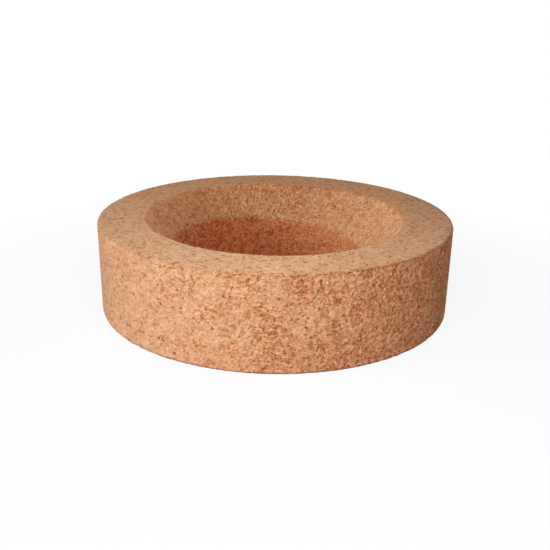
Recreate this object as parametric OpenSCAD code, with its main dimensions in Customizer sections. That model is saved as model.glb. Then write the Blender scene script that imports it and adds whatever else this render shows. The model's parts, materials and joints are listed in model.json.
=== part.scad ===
// Pressed cork ring that holds a round-bottomed flask upright on the bench.
// One block of bonded cork granules, cut to shape: a plain round wall, a flat top
// land, a conical seat that the flask sits in, and a straight bore. The bore was cut
// last and a little off centre, so the rim where it meets the seat lies aslant.
// The origin is the centre of the base, and +Z is the ring's axis.

/* [Ring] */
// Outside diameter, mm
outer_d = 110; // [90:0.5:200]
// Height from the base to the top land, mm
height = 28; // [18:0.5:60]

/* [Seat] */
// Diameter of the conical seat where it opens in the top land, mm
seat_d = 81; // [66:0.5:100]
// Slope of the seat's wall, degrees from the ring's axis
seat_angle = 45; // [30:1:60]

/* [Bore] */
// Diameter of the straight bore, mm
bore_d = 60; // [40:0.5:75]
// Distance of the bore's axis from the ring's axis, along -X, mm
bore_offset = 2; // [0:0.1:6]

/* [Edges] */
// Radius on the outer edge of the top land, mm
top_edge_r = 0.7; // [0.2:0.1:2]
// Radius on the outer edge of the base, mm
base_edge_r = 0.7; // [0.2:0.1:2]
// Radius where the seat opens in the top land, mm
seat_edge_r = 0.6; // [0.2:0.1:2]
// Radius where the bore opens in the base, mm
bore_edge_r = 0.6; // [0.2:0.1:2]

/* [Hidden] */
$fn = 96;

// How far a cut runs past the face that it opens, mm
overrun = 1;
outer_r = outer_d / 2;
seat_r = seat_d / 2;
bore_r = bore_d / 2;

// The ring is first turned with a narrower hole, which the bore opens out all round.
turned_r = bore_r - bore_offset - overrun;
seat_foot_z = height - (seat_r - turned_r) / tan(seat_angle);

// The corners of the turned section, anticlockwise, as [radius, height, edge radius].
// The two on the narrower hole stay sharp, because the bore cuts them away.
corners = [
    [turned_r, 0, 0],
    [outer_r, 0, base_edge_r],
    [outer_r, height, top_edge_r],
    [seat_r, height, seat_edge_r],
    [turned_r, seat_foot_z, 0]
];
last = len(corners) - 1;

function point(i) = [corners[i][0], corners[i][1]];
function edge_r(i) = corners[i][2];
function unit(v) = v / norm(v);
function to_previous(i) = unit(point(i == 0 ? last : i - 1) - point(i));
function to_next(i) = unit(point(i == last ? 0 : i + 1) - point(i));
function half_angle(i) = acos(to_previous(i) * to_next(i)) / 2;

// Where the rounding of a corner meets the side before it and the side after it.
function set_back(i) = edge_r(i) / tan(half_angle(i));
function round_start(i) = point(i) + set_back(i) * to_previous(i);
function round_end(i) = point(i) + set_back(i) * to_next(i);

// The centre of that rounding lies on the corner's bisector.
function bisector(i) = unit(to_previous(i) + to_next(i));
function round_centre(i) = point(i) + edge_r(i) / sin(half_angle(i)) * bisector(i);

// The turned section: cut straight across each rounded corner, then filled out by a circle.
module turned_section() {
    polygon([
        for (i = [0:last])
            each edge_r(i) > 0 ? [round_start(i), round_end(i)] : [point(i)]
    ]);
    for (i = [0:last])
        if (edge_r(i) > 0)
            translate(round_centre(i))
                circle(r = edge_r(i));
}

// Half of the bore's section, flared at the base so that it leaves a rounded edge.
module bore_section() {
    translate([0, -overrun])
        square([bore_r, height + 2 * overrun]);
    difference() {
        translate([0, -overrun])
            square([bore_r + bore_edge_r, bore_edge_r + overrun]);
        translate([bore_r + bore_edge_r, bore_edge_r])
            circle(r = bore_edge_r);
    }
}

// The whole ring, from one block.
module cork_ring() {
    color("burlywood")
        difference() {
            rotate_extrude()
                turned_section();
            translate([-bore_offset, 0, 0])
                rotate_extrude()
                    bore_section();
        }
}

cork_ring();
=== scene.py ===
import json
import math
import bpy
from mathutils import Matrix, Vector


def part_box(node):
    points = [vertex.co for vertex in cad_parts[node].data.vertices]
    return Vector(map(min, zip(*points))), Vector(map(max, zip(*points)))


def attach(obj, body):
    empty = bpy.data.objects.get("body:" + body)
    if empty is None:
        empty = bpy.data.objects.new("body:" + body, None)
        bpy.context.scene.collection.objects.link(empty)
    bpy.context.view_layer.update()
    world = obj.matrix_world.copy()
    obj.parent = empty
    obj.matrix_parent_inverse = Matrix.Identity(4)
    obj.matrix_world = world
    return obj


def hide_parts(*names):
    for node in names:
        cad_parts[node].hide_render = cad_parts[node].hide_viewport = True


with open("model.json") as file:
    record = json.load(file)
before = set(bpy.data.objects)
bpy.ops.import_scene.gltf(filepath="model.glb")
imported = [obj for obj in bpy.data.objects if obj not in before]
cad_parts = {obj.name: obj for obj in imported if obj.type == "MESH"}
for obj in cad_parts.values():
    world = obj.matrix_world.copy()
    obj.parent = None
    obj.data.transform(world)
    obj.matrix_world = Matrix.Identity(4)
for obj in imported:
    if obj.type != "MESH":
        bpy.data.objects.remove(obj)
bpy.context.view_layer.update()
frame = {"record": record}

from types import SimpleNamespace

import bmesh
import bpy
from mathutils import Matrix, Vector, noise

# Looks for a ring of pressed cork granules: a turned block with a sanded top and base,
# a granular wall and seat, and a bore cut a little off centre.

MM = 0.001
HAIR = 1e-6           # metres: two places nearer than this are the same
HALF_TURN = math.pi
FULL_TURN = 2 * math.pi

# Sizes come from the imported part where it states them.
_, ring_top_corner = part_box("cork_ring")
bore_mount = next(m for m in frame["record"]["mounts"] if m["name"] == "bore")
OUTER_R = ring_top_corner.x
HEIGHT = ring_top_corner.z
BORE_R = bore_mount["dims"]["r_mm"] * MM
BORE_X = bore_mount["pos_m"][0]
MOUTH_R = 40.5 * MM
SEAT_SLOPE = math.radians(45)
OUTER_EDGE = 0.7 * MM
MOUTH_EDGE = 0.6 * MM
BORE_EDGE = 0.6 * MM
RIM_EDGE = 0.3 * MM
RIM_Z = HEIGHT - (MOUTH_R - BORE_R) / math.tan(SEAT_SLOPE)

# Corners of the turned section, anticlockwise from the bore's foot: radius, height,
# edge radius, and how many rows the side after it is cut into.
SECTION = (
    (BORE_R, 0.0, BORE_EDGE, 22),
    (OUTER_R, 0.0, OUTER_EDGE, 50),
    (OUTER_R, HEIGHT, OUTER_EDGE, 25),
    (MOUTH_R, HEIGHT, MOUTH_EDGE, 27),
    (BORE_R, RIM_Z, RIM_EDGE, 20),
)
SHORTEST_SIDE = 3 * MM      # a shorter edge of the section is part of a rounded corner
EDGE_STEPS = 2
TURN_STEPS = 640

# The seat moves with the bore from this far inside the mouth's rounding, in its radii.
SEAT_MARGIN = 0.2


def clamp(value):
    """The value, kept between 0 and 1."""
    return min(max(value, 0.0), 1.0)


def smooth_step(value, low, high):
    """0 below low, 1 above high, and an S-shaped rise between them."""
    t = clamp((value - low) / (high - low))
    return t * t * (3 - 2 * t)


def fade(distance, reach):
    """1 at no distance, about a third at the reach, and soon 0 beyond it."""
    return math.exp(-(distance / reach) ** 2)


# ---------------------------------------------------------------- the block, as turned

def half_angle(index):
    """Half the angle inside a corner of the section."""
    around = (index, index - 1, (index + 1) % len(SECTION))
    spot, before, after = (Vector(SECTION[i][:2]) for i in around)
    return (before - spot).angle(after - spot) / 2


def rows_of_side(middle):
    """How many rows the side of the section with this middle is cut into."""
    def away(index):
        (r1, z1), (r2, z2) = SECTION[index][:2], SECTION[(index + 1) % len(SECTION)][:2]
        return (Vector(((r1 + r2) / 2, 0, (z1 + z2) / 2)) - middle).length

    nearest = min(range(len(SECTION)), key=away)
    return SECTION[nearest][3]


def cut_section(bm):
    """Draws the section as a loop of edges: corners rounded, and sides cut into rows."""
    corners = [bm.verts.new((radius, 0, z)) for radius, z, _, _ in SECTION]
    bm.faces.new(corners)
    for index, corner in enumerate(corners):
        edge_radius = SECTION[index][2]
        bmesh.ops.bevel(bm, geom=[corner], offset=edge_radius / math.tan(half_angle(index)),
                        offset_type="OFFSET", segments=EDGE_STEPS, profile=0.5,
                        affect="VERTICES", material=-1)
    for side in [edge for edge in bm.edges if edge.calc_length() > SHORTEST_SIDE]:
        middle = (side.verts[0].co + side.verts[1].co) / 2
        bmesh.ops.subdivide_edges(bm, edges=[side], cuts=rows_of_side(middle) - 1)
    bmesh.ops.delete(bm, geom=list(bm.faces), context="FACES_ONLY")


def walk_section(bm, along):
    """Writes how far round the section each point is, from the bore's foot outward.

    Gives the whole way round."""
    start = min((v for v in bm.verts if v.co.z < HAIR), key=lambda v: v.co.x)
    edge = max(start.link_edges, key=lambda e: e.other_vert(start).co.x)
    point, walked = start, 0.0
    while True:
        point[along] = walked
        walked += edge.calc_length()
        point = edge.other_vert(point)
        if point is start:
            return walked
        edge = next(e for e in point.link_edges if e is not edge)


def find_corners(bm, along):
    """How far round the section the middle of each rounded corner is."""
    return [min(bm.verts, key=lambda v: (v.co - Vector((radius, 0, z))).length)[along]
            for radius, z, _, _ in SECTION]


def move_bore_off_centre(bm):
    """Shifts the bore along X and lets seat and base meet it. The outside stays put."""
    mouth_rounding = MOUTH_EDGE * math.sin(SEAT_SLOPE) * math.tan(SEAT_SLOPE / 2)
    seat_outside = MOUTH_R - mouth_rounding - MOUTH_EDGE * SEAT_MARGIN
    base_outside, base_inside = OUTER_R - OUTER_EDGE, BORE_R + BORE_EDGE
    bore_bottom, bore_top = BORE_EDGE, RIM_Z - RIM_EDGE
    for v in bm.verts:
        radius = math.hypot(v.co.x, v.co.y)
        turn = math.atan2(v.co.y, v.co.x)
        on_base = v.co.z < bore_bottom and radius > BORE_R + HAIR
        if on_base:
            share = clamp((base_outside - radius) / (base_outside - base_inside))
        else:
            share = clamp((seat_outside - radius) / (seat_outside - BORE_R))
        if share == 0.0:
            continue
        if on_base:
            rise = 0.0
        elif radius < BORE_R + HAIR:
            rim_radius = math.hypot(BORE_X + BORE_R * math.cos(turn), BORE_R * math.sin(turn))
            rim_rise = (rim_radius - BORE_R) / math.tan(SEAT_SLOPE)
            rise = rim_rise * clamp((v.co.z - bore_bottom) / (bore_top - bore_bottom))
        else:
            moved = math.hypot(v.co.x + BORE_X * share, v.co.y)
            rise = (moved - radius) / math.tan(SEAT_SLOPE)
        v.co.x += BORE_X * share
        v.co.z += rise


# ---------------------------------------------------------------- granular relief

# Sizes of the granules, of the hollows and swells, and of the warp that makes all uneven.
GRANULE_SIZE = 1.9 * MM
CREVICE_SIZE = 1.15 * MM
PIT_SIZE = 1.6 * MM
SWELL_SIZE = 3.2 * MM
WARP_SIZE = 1.1 * MM
WARP_REACH = 0.45 * MM
WARP_SEEDS = (21, 22, 23)

# Noise at which each kind of hollow starts, and at which it is at its deepest.
CREVICE_SPAN = (0.05, 0.36)
PIT_SPAN = (0.38, 0.64)
SEAM_SPAN = (0.0, 0.3)

# How deep each goes, in millimetres. The last is taken off, so the highest spots stay on
# the turned face.
CREVICE_DEPTH = 0.17
PIT_DEPTH = 0.28
SEAM_DEPTH = 0.06
SWELL_DEPTH = 0.06
SPARED_DEPTH = 0.03

# A face is sanded where its normal's upright part is in or over this span. Sanding, and
# the rounding of an edge, take off so much of the relief.
SANDED_SPAN = (0.8, 0.97)
SANDED_OFF = 0.82
ROUNDED_OFF = 0.45
ROUNDED_REACH = 1.2 * MM

# Wear roughens the sanded faces again by the outside, and edges crumble here and there.
WEAR_REACH = 1.2 * MM
WEAR_DEPTH = 0.05 * MM
WEAR_SIZE = 1.6 * MM
CRUMBLE_REACH = 0.5 * MM
CRUMBLE_DEPTH = 0.12 * MM
CRUMBLE_SIZE = 1.2 * MM
CRUMBLE_PATCH = 2.9 * MM


def wave(spot, length, seed):
    """Smooth noise of that wavelength, -1 to 1."""
    return noise.noise(spot / length + Vector((seed, 3 * seed, 7 * seed)))


def relief(spot):
    """Depth below the turned block in a granular face, and how hollow the spot is, 0 to 1."""
    warp = Vector([wave(spot, WARP_SIZE, seed) for seed in WARP_SEEDS])
    warped = spot + WARP_REACH * warp
    crevice = smooth_step(wave(warped, CREVICE_SIZE, seed=5), *CREVICE_SPAN)
    pit = smooth_step(wave(warped, PIT_SIZE, seed=11), *PIT_SPAN)
    nearest, next_nearest = noise.voronoi(warped / GRANULE_SIZE)[0][:2]
    seam = 1.0 - smooth_step(next_nearest - nearest, *SEAM_SPAN)
    swell = 0.5 + 0.5 * wave(spot, SWELL_SIZE, seed=2)
    depth = (CREVICE_DEPTH * crevice + PIT_DEPTH * pit + SEAM_DEPTH * seam
             + SWELL_DEPTH * swell - SPARED_DEPTH)
    return depth * MM, min(1.0, 0.75 * crevice + 0.35 * seam * swell + pit)


def relieve(bm, along, length, corners, hollow_layer):
    """Sinks each point: wall, seat and bore granular, top and base sanded, edges crumbled."""
    bm.normal_update()
    normals = {v: v.normal.copy() for v in bm.verts}
    for v in bm.verts:
        depth, hollow = relief(v.co)
        to_outside = OUTER_R - math.hypot(v.co.x, v.co.y)
        runs = [abs(v[along] - corner) for corner in corners]
        to_edge = min(min(run, length - run) for run in runs)
        sanded = smooth_step(abs(normals[v].z), *SANDED_SPAN)
        worn = fade(to_outside, WEAR_REACH) if sanded else 0.0
        depth *= 1.0 - SANDED_OFF * sanded * (1.0 - worn * 0.5)
        depth *= 1.0 - ROUNDED_OFF * fade(to_edge, ROUNDED_REACH)
        depth += WEAR_DEPTH * worn * (0.3 + wave(v.co, WEAR_SIZE, seed=9))
        crumble = wave(v.co, CRUMBLE_SIZE, seed=4) + 0.4 * wave(v.co, CRUMBLE_PATCH, seed=6)
        depth += CRUMBLE_DEPTH * max(0.0, crumble) * fade(to_edge, CRUMBLE_REACH)
        v[hollow_layer] = hollow * (1.0 - sanded * (1.0 - worn))
        v.co -= normals[v] * max(depth, 0.0)


# ---------------------------------------------------------------- the finished mesh

STRIP_MARGIN = 0.006        # clear space round each strip of the map, as a share of its length


def unroll(bm, along, length):
    """Lays each half-turn of the surface flat, as two strips one above the other, in a UV map
    named OFBake."""
    uv = bm.loops.layers.uv.new("OFBake")
    for face in bm.faces:
        middle = face.calc_center_median()
        turn = math.atan2(middle.y, middle.x) % FULL_TURN
        half = int(turn >= HALF_TURN)
        runs = [loop.vert[along] for loop in face.loops]
        wraps = max(runs) - min(runs) > length / 2
        for loop, run in zip(face.loops, runs):
            if wraps and run < length / 2:
                run += length
            angle = math.atan2(loop.vert.co.y, loop.vert.co.x)
            angle = turn + (angle - turn + HALF_TURN) % FULL_TURN - HALF_TURN
            across = (angle - half * HALF_TURN) / HALF_TURN
            up = half + STRIP_MARGIN * 2 + run / length * (1 - 4 * STRIP_MARGIN)
            loop[uv].uv = (STRIP_MARGIN + across * (1 - 2 * STRIP_MARGIN), up / 2)


def settle_order(bm):
    """Cuts each quad across its shorter way, and puts edges and faces in a set order.

    A spin leaves them in an order of its own, which changes from run to run."""
    bmesh.ops.triangulate(bm, faces=bm.faces, quad_method="SHORT_EDGE", ngon_method="BEAUTY")
    bm.verts.index_update()
    count = len(bm.verts)

    def rank(item):
        number = 0
        for index in sorted(v.index for v in item.verts):
            number = number * count + index
        return number

    bm.edges.sort(key=rank)
    bm.faces.sort(key=rank)


def put_in_scene(bm, name):
    """Makes an object of a finished bmesh, at the origin."""
    mesh = bpy.data.meshes.new(name)
    bm.to_mesh(mesh)
    bm.free()
    piece = bpy.data.objects.new(name, mesh)
    bpy.context.scene.collection.objects.link(piece)
    return piece


def build_ring():
    """Turns the section into the ring, moves its bore, and gives it its granular relief."""
    bm = bmesh.new()
    cut_section(bm)
    along = bm.verts.layers.float.new("along")
    length = walk_section(bm, along)
    corners = find_corners(bm, along)
    bmesh.ops.spin(bm, geom=list(bm.verts) + list(bm.edges), cent=(0, 0, 0), axis=(0, 0, 1),
                   angle=FULL_TURN, steps=TURN_STEPS, use_merge=True, use_duplicate=False)
    bmesh.ops.recalc_face_normals(bm, faces=bm.faces)
    unroll(bm, along, length)
    move_bore_off_centre(bm)
    hollow = bm.verts.layers.float.new("hollow")
    relieve(bm, along, length, corners, hollow)
    settle_order(bm)
    for face in bm.faces:
        face.smooth = True
    return put_in_scene(bm, "pressed_ring")


# ---------------------------------------------------------------- how materials are made

class Wire:
    """A node's output. Arithmetic on it adds Math nodes to the same material."""

    def __init__(self, finish, socket):
        self.finish, self.socket = finish, socket

    def maths(self, operation, *values):
        """Adds a Math node of that operation on the values."""
        inputs = dict(enumerate(values))
        return self.finish.add("ShaderNodeMath", {"operation": operation}, inputs)["Value"]

    def __add__(self, other): return self.maths("ADD", self, other)
    def __radd__(self, other): return self.maths("ADD", other, self)
    def __sub__(self, other): return self.maths("SUBTRACT", self, other)
    def __rsub__(self, other): return self.maths("SUBTRACT", other, self)
    def __mul__(self, other): return self.maths("MULTIPLY", self, other)
    def __rmul__(self, other): return self.maths("MULTIPLY", other, self)
    def __truediv__(self, other): return self.maths("DIVIDE", self, other)
    def __rtruediv__(self, other): return self.maths("DIVIDE", other, self)
    def __pow__(self, other): return self.maths("POWER", self, other)
    def __rpow__(self, other): return self.maths("POWER", other, self)

    def at_most(self, most):
        """This, or most where this is more."""
        return self.maths("MINIMUM", self, most)

    def over(self, low, high):
        """0 where this is below low, 1 where it is above high, smooth between."""
        return self.finish.add("ShaderNodeMapRange", {"interpolation_type": "SMOOTHSTEP"},
                               {"Value": self, "From Min": low, "From Max": high})["Result"]


class Finish:
    """A material or world made of nodes."""

    def __init__(self, owner):
        owner.use_nodes = True
        self.owner, self.tree = owner, owner.node_tree
        self.tree.nodes.clear()

    def add(self, kind, settings=None, inputs=None):
        """Adds a node: its settings first, then its sockets. Gives its outputs by name."""
        node = self.tree.nodes.new(kind)
        for name, value in (settings or {}).items():
            if name == "stops":
                self.set_stops(node.color_ramp, value)
            else:
                setattr(node, name, value)
        for name, value in (inputs or {}).items():
            self.feed(self.find_input(node, name), value)
        return {socket.name: Wire(self, socket) for socket in node.outputs if socket.enabled}

    def find_input(self, node, name):
        """The node's input of that number, or the one in use of that name."""
        if isinstance(name, int):
            return node.inputs[name]
        return next(socket for socket in node.inputs if socket.name == name and socket.enabled)

    def feed(self, socket, value):
        """Links a wire to the socket, or sets it to a number or a colour."""
        if isinstance(value, Wire):
            self.tree.links.new(value.socket, socket)
        elif socket.type == "RGBA" and len(value) == 3:
            socket.default_value = (*value, 1.0)
        else:
            socket.default_value = value

    def set_stops(self, ramp, stops):
        """Gives a colour ramp its stops, each a place and a colour."""
        while len(ramp.elements) < len(stops):
            ramp.elements.new(1.0)
        for element, (place, colour) in zip(ramp.elements, stops):
            element.position, element.color = place, (*colour, 1.0)

    def ramp(self, stops, place):
        """The colour at that place of a colour ramp."""
        return self.add("ShaderNodeValToRGB", {"stops": stops}, {"Fac": place})["Color"]

    def blend(self, share, below, above, how="MIX"):
        """Mixes two colours."""
        return self.add("ShaderNodeMix", {"data_type": "RGBA", "blend_type": how},
                        {"Factor": share, "A": below, "B": above})["Result"]

    def stain(self, share, colour, tint):
        """Multiplies a colour by a tint, as much as the share says."""
        return self.blend(share, colour, tint, "MULTIPLY")

    def noise(self, place, scale, detail=2.0, roughness=0.5):
        """Smooth noise."""
        return self.add("ShaderNodeTexNoise", {}, {
            "Vector": place, "Scale": scale, "Detail": detail, "Roughness": roughness})

    def granules(self, place, scale):
        """Cells: how far a spot is from its cell's middle, and three random tones a cell."""
        cells = self.add("ShaderNodeTexVoronoi", {}, {"Vector": place, "Scale": scale})
        tones = self.add("ShaderNodeSeparateColor", {}, {"Color": cells["Color"]})
        return cells["Distance"], tones

    def vector_maths(self, operation, inputs):
        """Adds a Vector Math node."""
        return self.add("ShaderNodeVectorMath", {"operation": operation}, inputs)["Vector"]

    def shift(self, place, other, amount):
        """Moves a place by another vector, scaled."""
        step = self.vector_maths("SCALE", {0: other, "Scale": amount})
        return self.vector_maths("ADD", {0: place, 1: step})


# ---------------------------------------------------------------- cork

OUTER_MM, MOUTH_MM, TOP_MM = OUTER_R / MM, MOUTH_R / MM, HEIGHT / MM

# Colours of the granules, and of the fragments of bark among them.
GRANULE_TONE = (0.97, 0.51, 0.282)
RED_GRANULE = (0.66, 0.28, 0.13)
SANDED_TONE = (0.575, 0.340, 0.191)
BARK = (0.30, 0.085, 0.022)
SANDED_BARK = (0.23, 0.075, 0.034)

# Where plain granules lie on the scale from dark, 0, to pale, 1.
GRANULE_TINT = 0.782
SANDED_TINT = 0.80

# That scale: the logarithm of its darkest tone over the middle one, how far it rises to
# the palest, and how much red and blue change beside green.
DARKEST = -0.916
TONE_RISE = 1.216
RED_CHANGE = 0.4
BLUE_CHANGE = 1.45
TONE_STEPS = 5

# Stains, which are multiplied over those colours. Left is -X, right is +X, back is +Y.
CLOSE_GRAIN = (0.805, 0.85, 0.87)
# Redder on the open-grained right: partly grain, partly painted shade.
OPEN_GRAIN_AND_SHADE = (1.0, 0.92, 0.865)
# Painted shade at the wall's two ends.
WALL_LEFT_END_SHADE = (0.58, 0.635, 0.665)
WALL_RIGHT_END_SHADE = (0.93, 0.82, 0.69)
# Painted shade on the top: towards the back, and at the right front.
TOP_BACK_SHADE = (0.95, 0.86, 0.73)
TOP_RIGHT_FRONT_SHADE = (0.92, 0.90, 0.88)
SEAT = (0.86, 0.925, 0.92)
SMOOTH_SEAT = (0.81, 0.755, 0.72)
SEAT_BY_MOUTH = (0.93, 0.84, 0.77)
# Painted shade on the left of the seat and of the bore.
SEAT_LEFT_SHADE = (0.86, 0.74, 0.65)
# The bore: partly its own darker cut, partly painted shade.
BORE_DEEP_CUT_AND_SHADE = (0.60, 0.43, 0.335)
BORE_UPPER_CUT_AND_SHADE = (0.665, 0.52, 0.435)
BORE_LEFT_SHADE = (0.87, 0.61, 0.51)
BROAD_PATCH = (0.90, 0.86, 0.82)
COARSE_PATCH = (0.90, 0.82, 0.76)
# Painted shade at the top's outer edge, the mouth's lip and the foot.
EDGE_SHADE = (0.84, 0.80, 0.76)
LIP_SHADE = (0.76, 0.72, 0.69)
FOOT_SHADE = (0.56, 0.43, 0.35)

ROUGHNESS = 0.86
FINE_ROUGHNESS = 0.12
GLOSS = 0.1

# How many of each pattern there are to the millimetre, and how far some are bent out of
# shape, in millimetres.
BROAD_SCALE = 0.12
COARSE_SCALE = 0.45
RAGGED_SCALE = 0.8
FINE_SCALE = 2.0
MOTTLE_SCALE = 1.1
GRANULE_SCALE, GRANULE_BEND = 0.62, 0.6
CRUMB_SCALE, CRUMB_BEND = 1.15, 0.5
PIT_SCALE, PIT_BEND = 0.78, 1.6
SHRED_SCALE, SHRED_BEND = 1.05, 3.0
FLECK_SCALE, FLECK_BEND = 0.75, 2.6


def cork_tones(middle):
    """Stops from dark to pale around a middle tone: cork reddens as it darkens."""
    red, green, blue = middle
    stops = []
    for step in range(TONE_STEPS + 1):
        place = step / TONE_STEPS
        light = math.exp(TONE_RISE * place + DARKEST)
        tone = (red * light ** RED_CHANGE, green * light, blue * light ** BLUE_CHANGE)
        stops.append((place, tone))
    return stops


def lay_patterns(finish):
    """The patterns that colours and bumps are made of, laid out in millimetres.

    The hollows are those of the mesh's own relief."""
    place = finish.add("ShaderNodeTexCoord")["Object"]
    place = finish.vector_maths("SCALE", {0: place, "Scale": 1 / MM})
    spot = finish.add("ShaderNodeSeparateXYZ", {}, {"Vector": place})
    hollow = finish.add("ShaderNodeAttribute", {"attribute_name": "hollow"})["Fac"]
    broad = finish.noise(place, BROAD_SCALE)["Fac"]
    coarse = finish.noise(place, COARSE_SCALE)["Fac"]
    ragged = finish.noise(place, RAGGED_SCALE, detail=3.0, roughness=0.6)
    fine = finish.noise(place, FINE_SCALE, detail=1.5, roughness=0.6)
    bent = finish.shift(place, ragged["Color"], GRANULE_BEND)
    mottle = finish.noise(bent, MOTTLE_SCALE, roughness=0.6)["Fac"]
    _, tone = finish.granules(bent, GRANULE_SCALE)
    bent = finish.shift(place, fine["Color"], CRUMB_BEND)
    crumb, crumb_tone = finish.granules(bent, CRUMB_SCALE)
    return SimpleNamespace(
        place=place, x=spot["X"], y=spot["Y"], z=spot["Z"], hollow=hollow,
        broad=broad, coarse=coarse, ragged=ragged["Fac"], swirl=ragged["Color"],
        fine=fine["Fac"], mottle=mottle, tone=tone, crumb=crumb, crumb_tone=crumb_tone)


def find_zones(grain):
    """Masks, 0 to 1, for the ring's faces and for how they were cut."""
    x, y, z = grain.x, grain.y, grain.z
    radius = (x * x + y * y) ** 0.5
    bore_x = x - BORE_X / MM
    bore_radius = (bore_x * bore_x + y * y) ** 0.5

    # The sanded faces give way raggedly to the granular ones, most at the left end.
    from_outside = OUTER_MM - radius
    off_left_end = x.over(-48, -20)
    wander = (grain.ragged - 0.5) * (6.0 - off_left_end * 2.5)
    inside = (from_outside + wander).over(-0.4, 0.7)
    past_mouth = radius.over(MOUTH_MM - 0.3, MOUTH_MM + 0.2)
    on_top = z.over(TOP_MM - 0.6, TOP_MM - 0.35) * past_mouth
    on_base = 1 - z.over(0.35, 0.6)
    sanded = (on_top + on_base) * inside

    # So do seat and bore, at the rim between them. On the seat above_rim is how far out of
    # the bore a spot is, and in the bore it is below 0, by how far under the seat's cone.
    above_rim = bore_radius - BORE_R / MM + z - (HEIGHT - MOUTH_R) / MM - radius
    ragged_rim = above_rim + (grain.ragged - 0.5) * 6.0 + (grain.mottle - 0.5) * 3.0
    in_bore = 1 - ragged_rim.over(-0.7, 0.9)
    in_bore = in_bore * (1 - radius.over(MOUTH_MM - 3, MOUTH_MM - 2))
    in_seat = (1 - past_mouth) * (1 - in_bore)

    # Painted shade: seat and bore are darker and redder on the left, which faces away from the
    # key lamp.
    left_shade = (1 - x.over(-28, 34)) * (in_seat + in_bore)

    # The grain is closer on the left and more open on the right. On the wall its stain and
    # darker marks also paint the right side, away from the key lamp, redder and more mottled:
    # partly grain, partly painted shade.
    open_grain = (x / 40 + (grain.broad - 0.5) * 2.5).over(-0.8, 1.0)
    open_grain = open_grain * (1 - in_seat * 0.65 - in_bore * 0.6)
    open_grain = open_grain + in_seat * 0.35 + in_bore * 0.1

    # The cutter has left the seat smoother on the right.
    rough_cut = 1 - in_seat * x.over(-8, 24) * 0.35

    return SimpleNamespace(
        radius=radius, from_outside=from_outside, off_left_end=off_left_end, sanded=sanded,
        in_bore=in_bore, in_seat=in_seat, left_shade=left_shade, open_grain=open_grain,
        rough_cut=rough_cut)


def find_marks(finish, grain, zone):
    """Masks for the gaps between granules: crevices, small nicks and larger pits."""
    open_grain = zone.open_grain
    crevice = grain.mottle.over(0.54 - open_grain * 0.07, 0.70 - open_grain * 0.04)
    nick = 1 - (grain.crumb + grain.fine * 0.5).over(0.46, 0.68)
    more_nicks = open_grain * 0.20
    nick = nick * grain.crumb_tone["Blue"].over(0.74 - more_nicks, 0.80 - more_nicks)
    bent = finish.shift(grain.place, grain.swirl, PIT_BEND)
    from_pit, pit_tone = finish.granules(bent, PIT_SCALE)
    pit = 1 - (from_pit + grain.fine * 0.6).over(0.44, 0.60)
    more_pits = open_grain * 0.40
    pit = pit * pit_tone["Green"].over(0.75 - more_pits, 0.81 - more_pits)
    pit = pit * (1 - zone.in_seat * 0.6)
    return SimpleNamespace(crevice=crevice, nick=nick, pit=pit)


def granular_colour(finish, grain, zone, marks):
    """Wall, seat and bore: tan granules, a few redder or paler, and red-brown crevices."""
    in_seat, in_bore, rough_cut = zone.in_seat, zone.in_bore, zone.rough_cut
    open_grain = zone.open_grain

    # Each granule has a shade of its own.
    tint = GRANULE_TINT + (grain.tone["Red"] - 0.5) * 0.10
    tint = tint + grain.crumb_tone["Red"].over(0.6, 1.0) * 0.10

    # Hollows and grit are darker: partly the darker cork there, partly painted shade in the
    # mesh's hollows, more on the shaded left of the bore.
    in_crevice = 0.21 + open_grain * 0.29 + in_bore * zone.left_shade * 0.30 - in_seat * 0.10
    in_hollow = 0.15 + open_grain * 0.15
    tint = tint - (marks.crevice * in_crevice + grain.hollow * in_hollow) * rough_cut
    tint = tint - grain.fine.over(0.57, 0.70) * (0.16 + in_seat * 0.20) * rough_cut

    # Seat and bore are blotched.
    tint = tint + in_bore * (1 - grain.mottle.over(0.36, 0.46)) * 0.10
    tint = tint + in_seat * (grain.coarse.over(0.4, 0.7) * -0.18 + 0.05)
    far_left = 1 - grain.x.over(-30, -14)
    blotch = (grain.mottle + grain.coarse).over(0.88, 1.16)
    blotch = blotch + (grain.mottle.over(0.46, 0.56) - 0.5) * far_left * 0.8
    tint = tint + in_bore * zone.left_shade * (0.5 - blotch) * 0.50

    # Pits and nicks are darkest: partly the darker cork there, partly painted shade in them.
    pitted = marks.pit * (0.56 + open_grain * 0.08)
    nicked = marks.nick * (0.23 + open_grain * 0.42) * (1 - in_seat * 0.2)
    tint = tint - (pitted + nicked) * rough_cut

    colour = finish.ramp(cork_tones(GRANULE_TONE), tint)
    reddish = grain.tone["Green"].over(0.7, 0.95) * 0.25
    colour = finish.blend(reddish, colour, RED_GRANULE)

    # The wall is stained by its grain. Its two ends get painted shade: darker at the left end,
    # redder at the right end, where the light falls off.
    wall_stain_and_shade = finish.blend(open_grain, CLOSE_GRAIN, OPEN_GRAIN_AND_SHADE)
    wall_stain_and_shade = finish.blend(grain.x.over(-56, -43), WALL_LEFT_END_SHADE, wall_stain_and_shade)
    wall_stain_and_shade = finish.blend(grain.x.over(36, 54), wall_stain_and_shade, WALL_RIGHT_END_SHADE)
    return finish.stain(1 - in_seat - in_bore, colour, wall_stain_and_shade)


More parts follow.
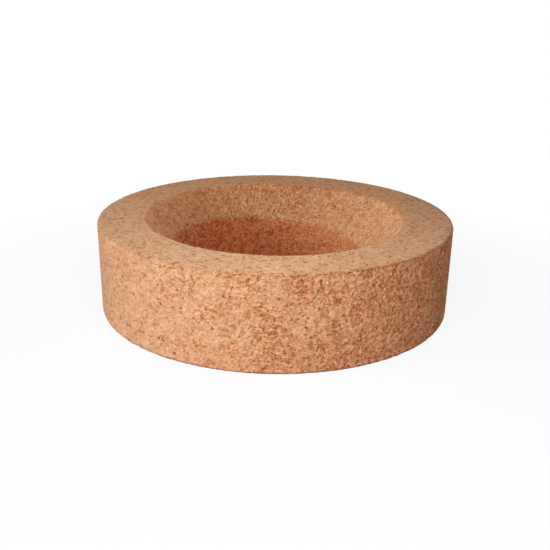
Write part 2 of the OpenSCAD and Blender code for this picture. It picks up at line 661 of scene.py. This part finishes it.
def sanded_colour(finish, grain):
    """Top and base: paler and greyer, the granules cut flat, with fine dark fragments, and
    painted shade towards the back and at the right front.
    """
    bent = finish.shift(grain.place, grain.swirl, SHRED_BEND)
    shreds = finish.noise(bent, SHRED_SCALE, roughness=0.6)["Fac"]
    tint = SANDED_TINT + (grain.tone["Red"] - 0.5) * 0.12
    tint = tint - grain.crumb_tone["Green"].over(0.5, 0.95) * 0.14
    tint = tint - grain.mottle.over(0.57, 0.64) * 0.22 - grain.fine.over(0.54, 0.66) * 0.24
    tint = tint - shreds.over(0.60, 0.65) * 0.60 + (1 - shreds.over(0.36, 0.42)) * 0.20
    colour = finish.ramp(cork_tones(SANDED_TONE), tint)
    # Painted shade: darker and redder towards the back, darker at the right front.
    back_shade_share = grain.y.over(-45, 50)
    right_front_shade_share = (grain.x - grain.y * 0.5).over(22, 50)
    colour = finish.stain(back_shade_share, colour, TOP_BACK_SHADE)
    return finish.stain(right_front_shade_share, colour, TOP_RIGHT_FRONT_SHADE)


def stain_and_shade_seat_and_bore(finish, grain, zone, colour):
    """Stains the seat where the cutter has smoothed it, and paints shade into seat and bore:
    darker and redder on the left, and darker deeper in the bore.
    """
    x, z, in_seat, in_bore = grain.x, grain.z, zone.in_seat, zone.in_bore
    wavy_radius = zone.radius + (grain.coarse - 0.5) * 6
    mid_left = x.over(-42, -26) - x.over(5, 30)
    near_mouth = wavy_radius.over(MOUTH_MM - 4.5, MOUTH_MM + 0.5) * mid_left * 0.5
    smooth_side = x.over(-8, 12) - x.over(20, 40) * 0.3
    colour = finish.stain(in_seat, colour, SEAT)
    colour = finish.stain(in_seat * smooth_side, colour, SMOOTH_SEAT)
    colour = finish.stain(in_seat * near_mouth, colour, SEAT_BY_MOUTH)
    # Painted shade: the seat darker and redder on the left.
    colour = finish.stain(in_seat * zone.left_shade, colour, SEAT_LEFT_SHADE)
    # The bore: partly its own darker cut, partly painted shade, darker deeper down and to the
    # left.
    bore_cut_and_shade = finish.blend((z + x * 0.15).over(2, 18), BORE_DEEP_CUT_AND_SHADE, BORE_UPPER_CUT_AND_SHADE)
    colour = finish.stain(in_bore, colour, bore_cut_and_shade)
    # Painted shade: the bore darker and redder on its left.
    bore_left_shade_share = in_bore * zone.left_shade * (0.5 + x.over(-33, -20) * 0.5)
    return finish.stain(bore_left_shade_share, colour, BORE_LEFT_SHADE)


def shade_edges_and_foot(finish, grain, zone, colour):
    """Painted shade: darkens the top's outer edge, the seat's lip, and the foot."""
    x, z, radius = grain.x, grain.z, zone.radius
    # Painted shade along the top's outer edge, less at the left end.
    edge = 1 - (zone.from_outside + TOP_MM - z).over(0.5, 1.2)
    edge = edge * (0.3 + zone.off_left_end * 0.7)
    # Painted shade over the highlight on the mouth's rounded lip, on the right.
    lip = radius.over(MOUTH_MM - 1.2, MOUTH_MM - 0.3) - radius.over(MOUTH_MM, MOUTH_MM + 0.4)
    lip = lip * z.over(TOP_MM - 3, TOP_MM - 1.5) * x.over(-25, 15)
    # Painted contact shade: darker along the foot, by the bench.
    foot = 1 - (z + (grain.ragged - 0.5) * 1.5).over(0.2, 1.0)
    foot = foot * (1 - zone.from_outside.over(0.8, 1.6))
    colour = finish.stain(edge, colour, EDGE_SHADE)
    colour = finish.stain(lip, colour, LIP_SHADE)
    return finish.stain(foot * 0.85, colour, FOOT_SHADE)


def find_specks(finish, grain, zone):
    """A mask for the small thin fragments of dark bark."""
    sanded = zone.sanded
    bent = finish.shift(grain.place, grain.swirl, FLECK_BEND)
    from_fleck, fleck_tone = finish.granules(bent, FLECK_SCALE)
    thinned = grain.fine * 0.5 + (grain.mottle - 0.5) * (1 - sanded) * 0.8
    speck = 1 - (from_fleck + thinned).over(0.42 + sanded * 0.04, 0.64 - sanded * 0.04)
    scarce = 0.16 - sanded * 0.16 - zone.in_bore * 0.34
    return speck * fleck_tone["Blue"].over(0.62 + scarce, 0.70 + scarce)


def cork_bumps(grain, zone, marks, speck):
    """Height of the grain: granules stand up, and crevices, pits and nicks go down."""
    open_grain, sanded = zone.open_grain, zone.sanded
    height = grain.crumb ** 2 * (-0.5 - open_grain * 0.6)
    height = height - marks.crevice * (0.15 + open_grain * 0.40)
    height = height - grain.mottle * (0.20 + open_grain * 0.50)
    height = height - marks.pit * (0.20 + open_grain * 0.35)
    height = height - marks.nick * (0.12 + open_grain * 0.33)

    # It is lower near the top, in the smooth of the seat, in the bore and where sanded.
    height = height * (1 - grain.z.over(TOP_MM - 1.5, TOP_MM - 0.3) * 0.5)
    height = height * zone.rough_cut * (1 - sanded * 0.85)
    height = height * (0.88 - zone.in_seat * 0.03 - zone.in_bore * 0.38)
    return height - speck * sanded * 0.12


def cork():
    """Pressed cork granules, raw on the wall, seat and bore and sanded on the top and base."""
    finish = Finish(bpy.data.materials.new("cork"))
    grain = lay_patterns(finish)
    zone = find_zones(grain)
    marks = find_marks(finish, grain, zone)
    speck = find_specks(finish, grain, zone)

    colour = finish.blend(zone.sanded, granular_colour(finish, grain, zone, marks),
                          sanded_colour(finish, grain))
    colour = stain_and_shade_seat_and_bore(finish, grain, zone, colour)
    colour = finish.stain(grain.broad.over(0.35, 0.7) * 0.2, colour, BROAD_PATCH)
    colour = finish.stain(grain.coarse.over(0.35, 0.7) * 0.25, colour, COARSE_PATCH)
    colour = shade_edges_and_foot(finish, grain, zone, colour)
    bark = finish.blend(zone.sanded, BARK, SANDED_BARK)
    colour = finish.blend(speck * (0.90 - zone.in_bore * 0.45), colour, bark)

    bumps = cork_bumps(grain, zone, marks, speck)
    normal = finish.add("ShaderNodeBump", {}, {
        "Strength": 1.0, "Distance": MM, "Height": bumps})["Normal"]
    shader = finish.add("ShaderNodeBsdfPrincipled", {}, {
        "Base Color": colour, "Roughness": ROUGHNESS + grain.fine * FINE_ROUGHNESS,
        "Normal": normal, "Specular IOR Level": GLOSS})["BSDF"]
    finish.add("ShaderNodeOutputMaterial", {}, {"Surface": shader})
    return finish.owner


# ---------------------------------------------------------------- stage, lamps and camera

WHITE = (1.0, 1.0, 1.0)
BENCH_WHITE = (0.8, 0.8, 0.8)
BENCH_HALF_SIZE = 6.0
BENCH_Z = -0.02 * MM

# How much of the bench is plain white to the eye under the ring. It is all so past the
# second distance. The rest shows the ring's shadow.
PLAIN_BY_RING = 0.9
SHADOW_FADES = (0.07, 0.16)

# Light that comes from all round, where 1 would be white.
WORLD_LIGHT = 0.03

# Name, degrees left of the camera, degrees up, distance, width, and brightness on a face
# turned to it. Distances and widths are in metres.
LAMPS = (
    ("key", 75, 22, 0.6, 0.25, 0.45),
    ("front_high", 1, 50, 0.16, 0.08, 0.48),
    ("front_low", 20, 10, 0.3, 0.12, 0.065),
    ("right_low", -30, 10, 0.3, 0.12, 0.115),
    ("back_high", 180, 75, 0.25, 0.12, 0.04),
    ("back_left", 145, 8, 1.5, 1.0, 0.31),
    ("back_right", -145, 8, 1.5, 1.0, 0.31),
)

# The camera's distance in outside diameters, and its angles in radians: how high it is
# over the top, and how it is tilted down, swung aside and leaned over.
CAMERA_AWAY = 2.13972
CAMERA_RISE = 0.275121
CAMERA_TILT = 0.357626
CAMERA_SWING = 0.000696
CAMERA_LEAN = 0.016758
CAMERA_NEAREST = 0.01
SENSOR_WIDTH = 36
FOCAL_LENGTH = 48.586


def seen_directly(finish):
    """1 for a ray that the camera, a gloss or a clear material sends, 0 for one that lights."""
    ray = finish.add("ShaderNodeLightPath")
    seen = ray["Is Camera Ray"] + ray["Is Glossy Ray"] + ray["Is Transmission Ray"]
    return seen.at_most(1.0)


def white_bench():
    """A white bench: mostly plain white to the eye, with a faint soft shadow."""
    finish = Finish(bpy.data.materials.new("floor"))
    matt = finish.add("ShaderNodeBsdfDiffuse", {}, {"Color": BENCH_WHITE})["BSDF"]
    plain = finish.add("ShaderNodeEmission", {}, {"Color": WHITE, "Strength": 1.0})["Emission"]
    place = finish.add("ShaderNodeTexCoord")["Object"]
    spot = finish.add("ShaderNodeSeparateXYZ", {}, {"Vector": place})
    away = (spot["X"] * spot["X"] + spot["Y"] * spot["Y"]) ** 0.5
    plainness = PLAIN_BY_RING + away.over(*SHADOW_FADES) * (1 - PLAIN_BY_RING)
    shader = finish.add("ShaderNodeMixShader", {}, {
        0: seen_directly(finish) * plainness, 1: matt, 2: plain})["Shader"]
    finish.add("ShaderNodeOutputMaterial", {}, {"Surface": shader})
    return finish.owner


def build_bench():
    """The floor, a hair under the ring's base."""
    bm = bmesh.new()
    bmesh.ops.create_grid(bm, x_segments=1, y_segments=1, size=BENCH_HALF_SIZE,
                          matrix=Matrix.Translation((0, 0, BENCH_Z)))
    bench = put_in_scene(bm, "bench")
    bench.data.materials.append(white_bench())


def build_lamps():
    """Round area lamps, all aimed at the ring's middle."""
    aim = Vector((0, 0, HEIGHT / 2))
    for name, left, up, distance, width, brightness in LAMPS:
        turn, rise = math.radians(-90 - left), math.radians(up)
        towards = Vector((math.cos(turn) * math.cos(rise), math.sin(turn) * math.cos(rise),
                          math.sin(rise)))
        place = aim + distance * towards
        light = bpy.data.lights.new(name, "AREA")
        light.shape = "DISK"
        light.size = width
        light.energy = 4 * math.pi * distance ** 2 * brightness
        lamp = bpy.data.objects.new(name, light)
        bpy.context.scene.collection.objects.link(lamp)
        facing = (aim - place).to_track_quat("-Z", "Y").to_matrix().to_4x4()
        lamp.matrix_world = Matrix.Translation(place) @ facing


def build_world():
    """A weak white light from all round, and a white backdrop."""
    world = bpy.data.worlds.new("surroundings")
    bpy.context.scene.world = world
    finish = Finish(world)
    strength = WORLD_LIGHT + seen_directly(finish) * (1 - WORLD_LIGHT)
    backdrop = finish.add("ShaderNodeBackground", {}, {
        "Color": WHITE, "Strength": strength})["Background"]
    finish.add("ShaderNodeOutputWorld", {}, {"Surface": backdrop})


def build_camera():
    """A camera in front of the ring (-Y) that looks down on it."""
    away = CAMERA_AWAY * 2 * OUTER_R
    place = Vector((0, -away * math.cos(CAMERA_RISE), away * math.sin(CAMERA_RISE) + HEIGHT))
    look = Vector((math.sin(CAMERA_SWING) * math.cos(CAMERA_TILT),
                   math.cos(CAMERA_SWING) * math.cos(CAMERA_TILT), -math.sin(CAMERA_TILT)))
    level = look.cross(Vector((0, 0, 1))).normalized()
    upright = level.cross(look)
    side = math.cos(CAMERA_LEAN) * level + math.sin(CAMERA_LEAN) * upright
    up = math.cos(CAMERA_LEAN) * upright - math.sin(CAMERA_LEAN) * level
    lens = bpy.data.cameras.new("camera")
    lens.sensor_width = SENSOR_WIDTH
    lens.lens = FOCAL_LENGTH
    lens.clip_start = CAMERA_NEAREST
    camera = bpy.data.objects.new("camera", lens)
    bpy.context.scene.collection.objects.link(camera)
    facing = Matrix((side, up, -look)).transposed().to_4x4()
    camera.matrix_world = Matrix.Translation(place) @ facing
    bpy.context.scene.camera = camera


bpy.context.scene.view_settings.view_transform = "Standard"
build_camera()
build_bench()
build_lamps()
build_world()
ring = build_ring()
ring.data.materials.append(cork())
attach(ring, "root")
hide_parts("cork_ring")
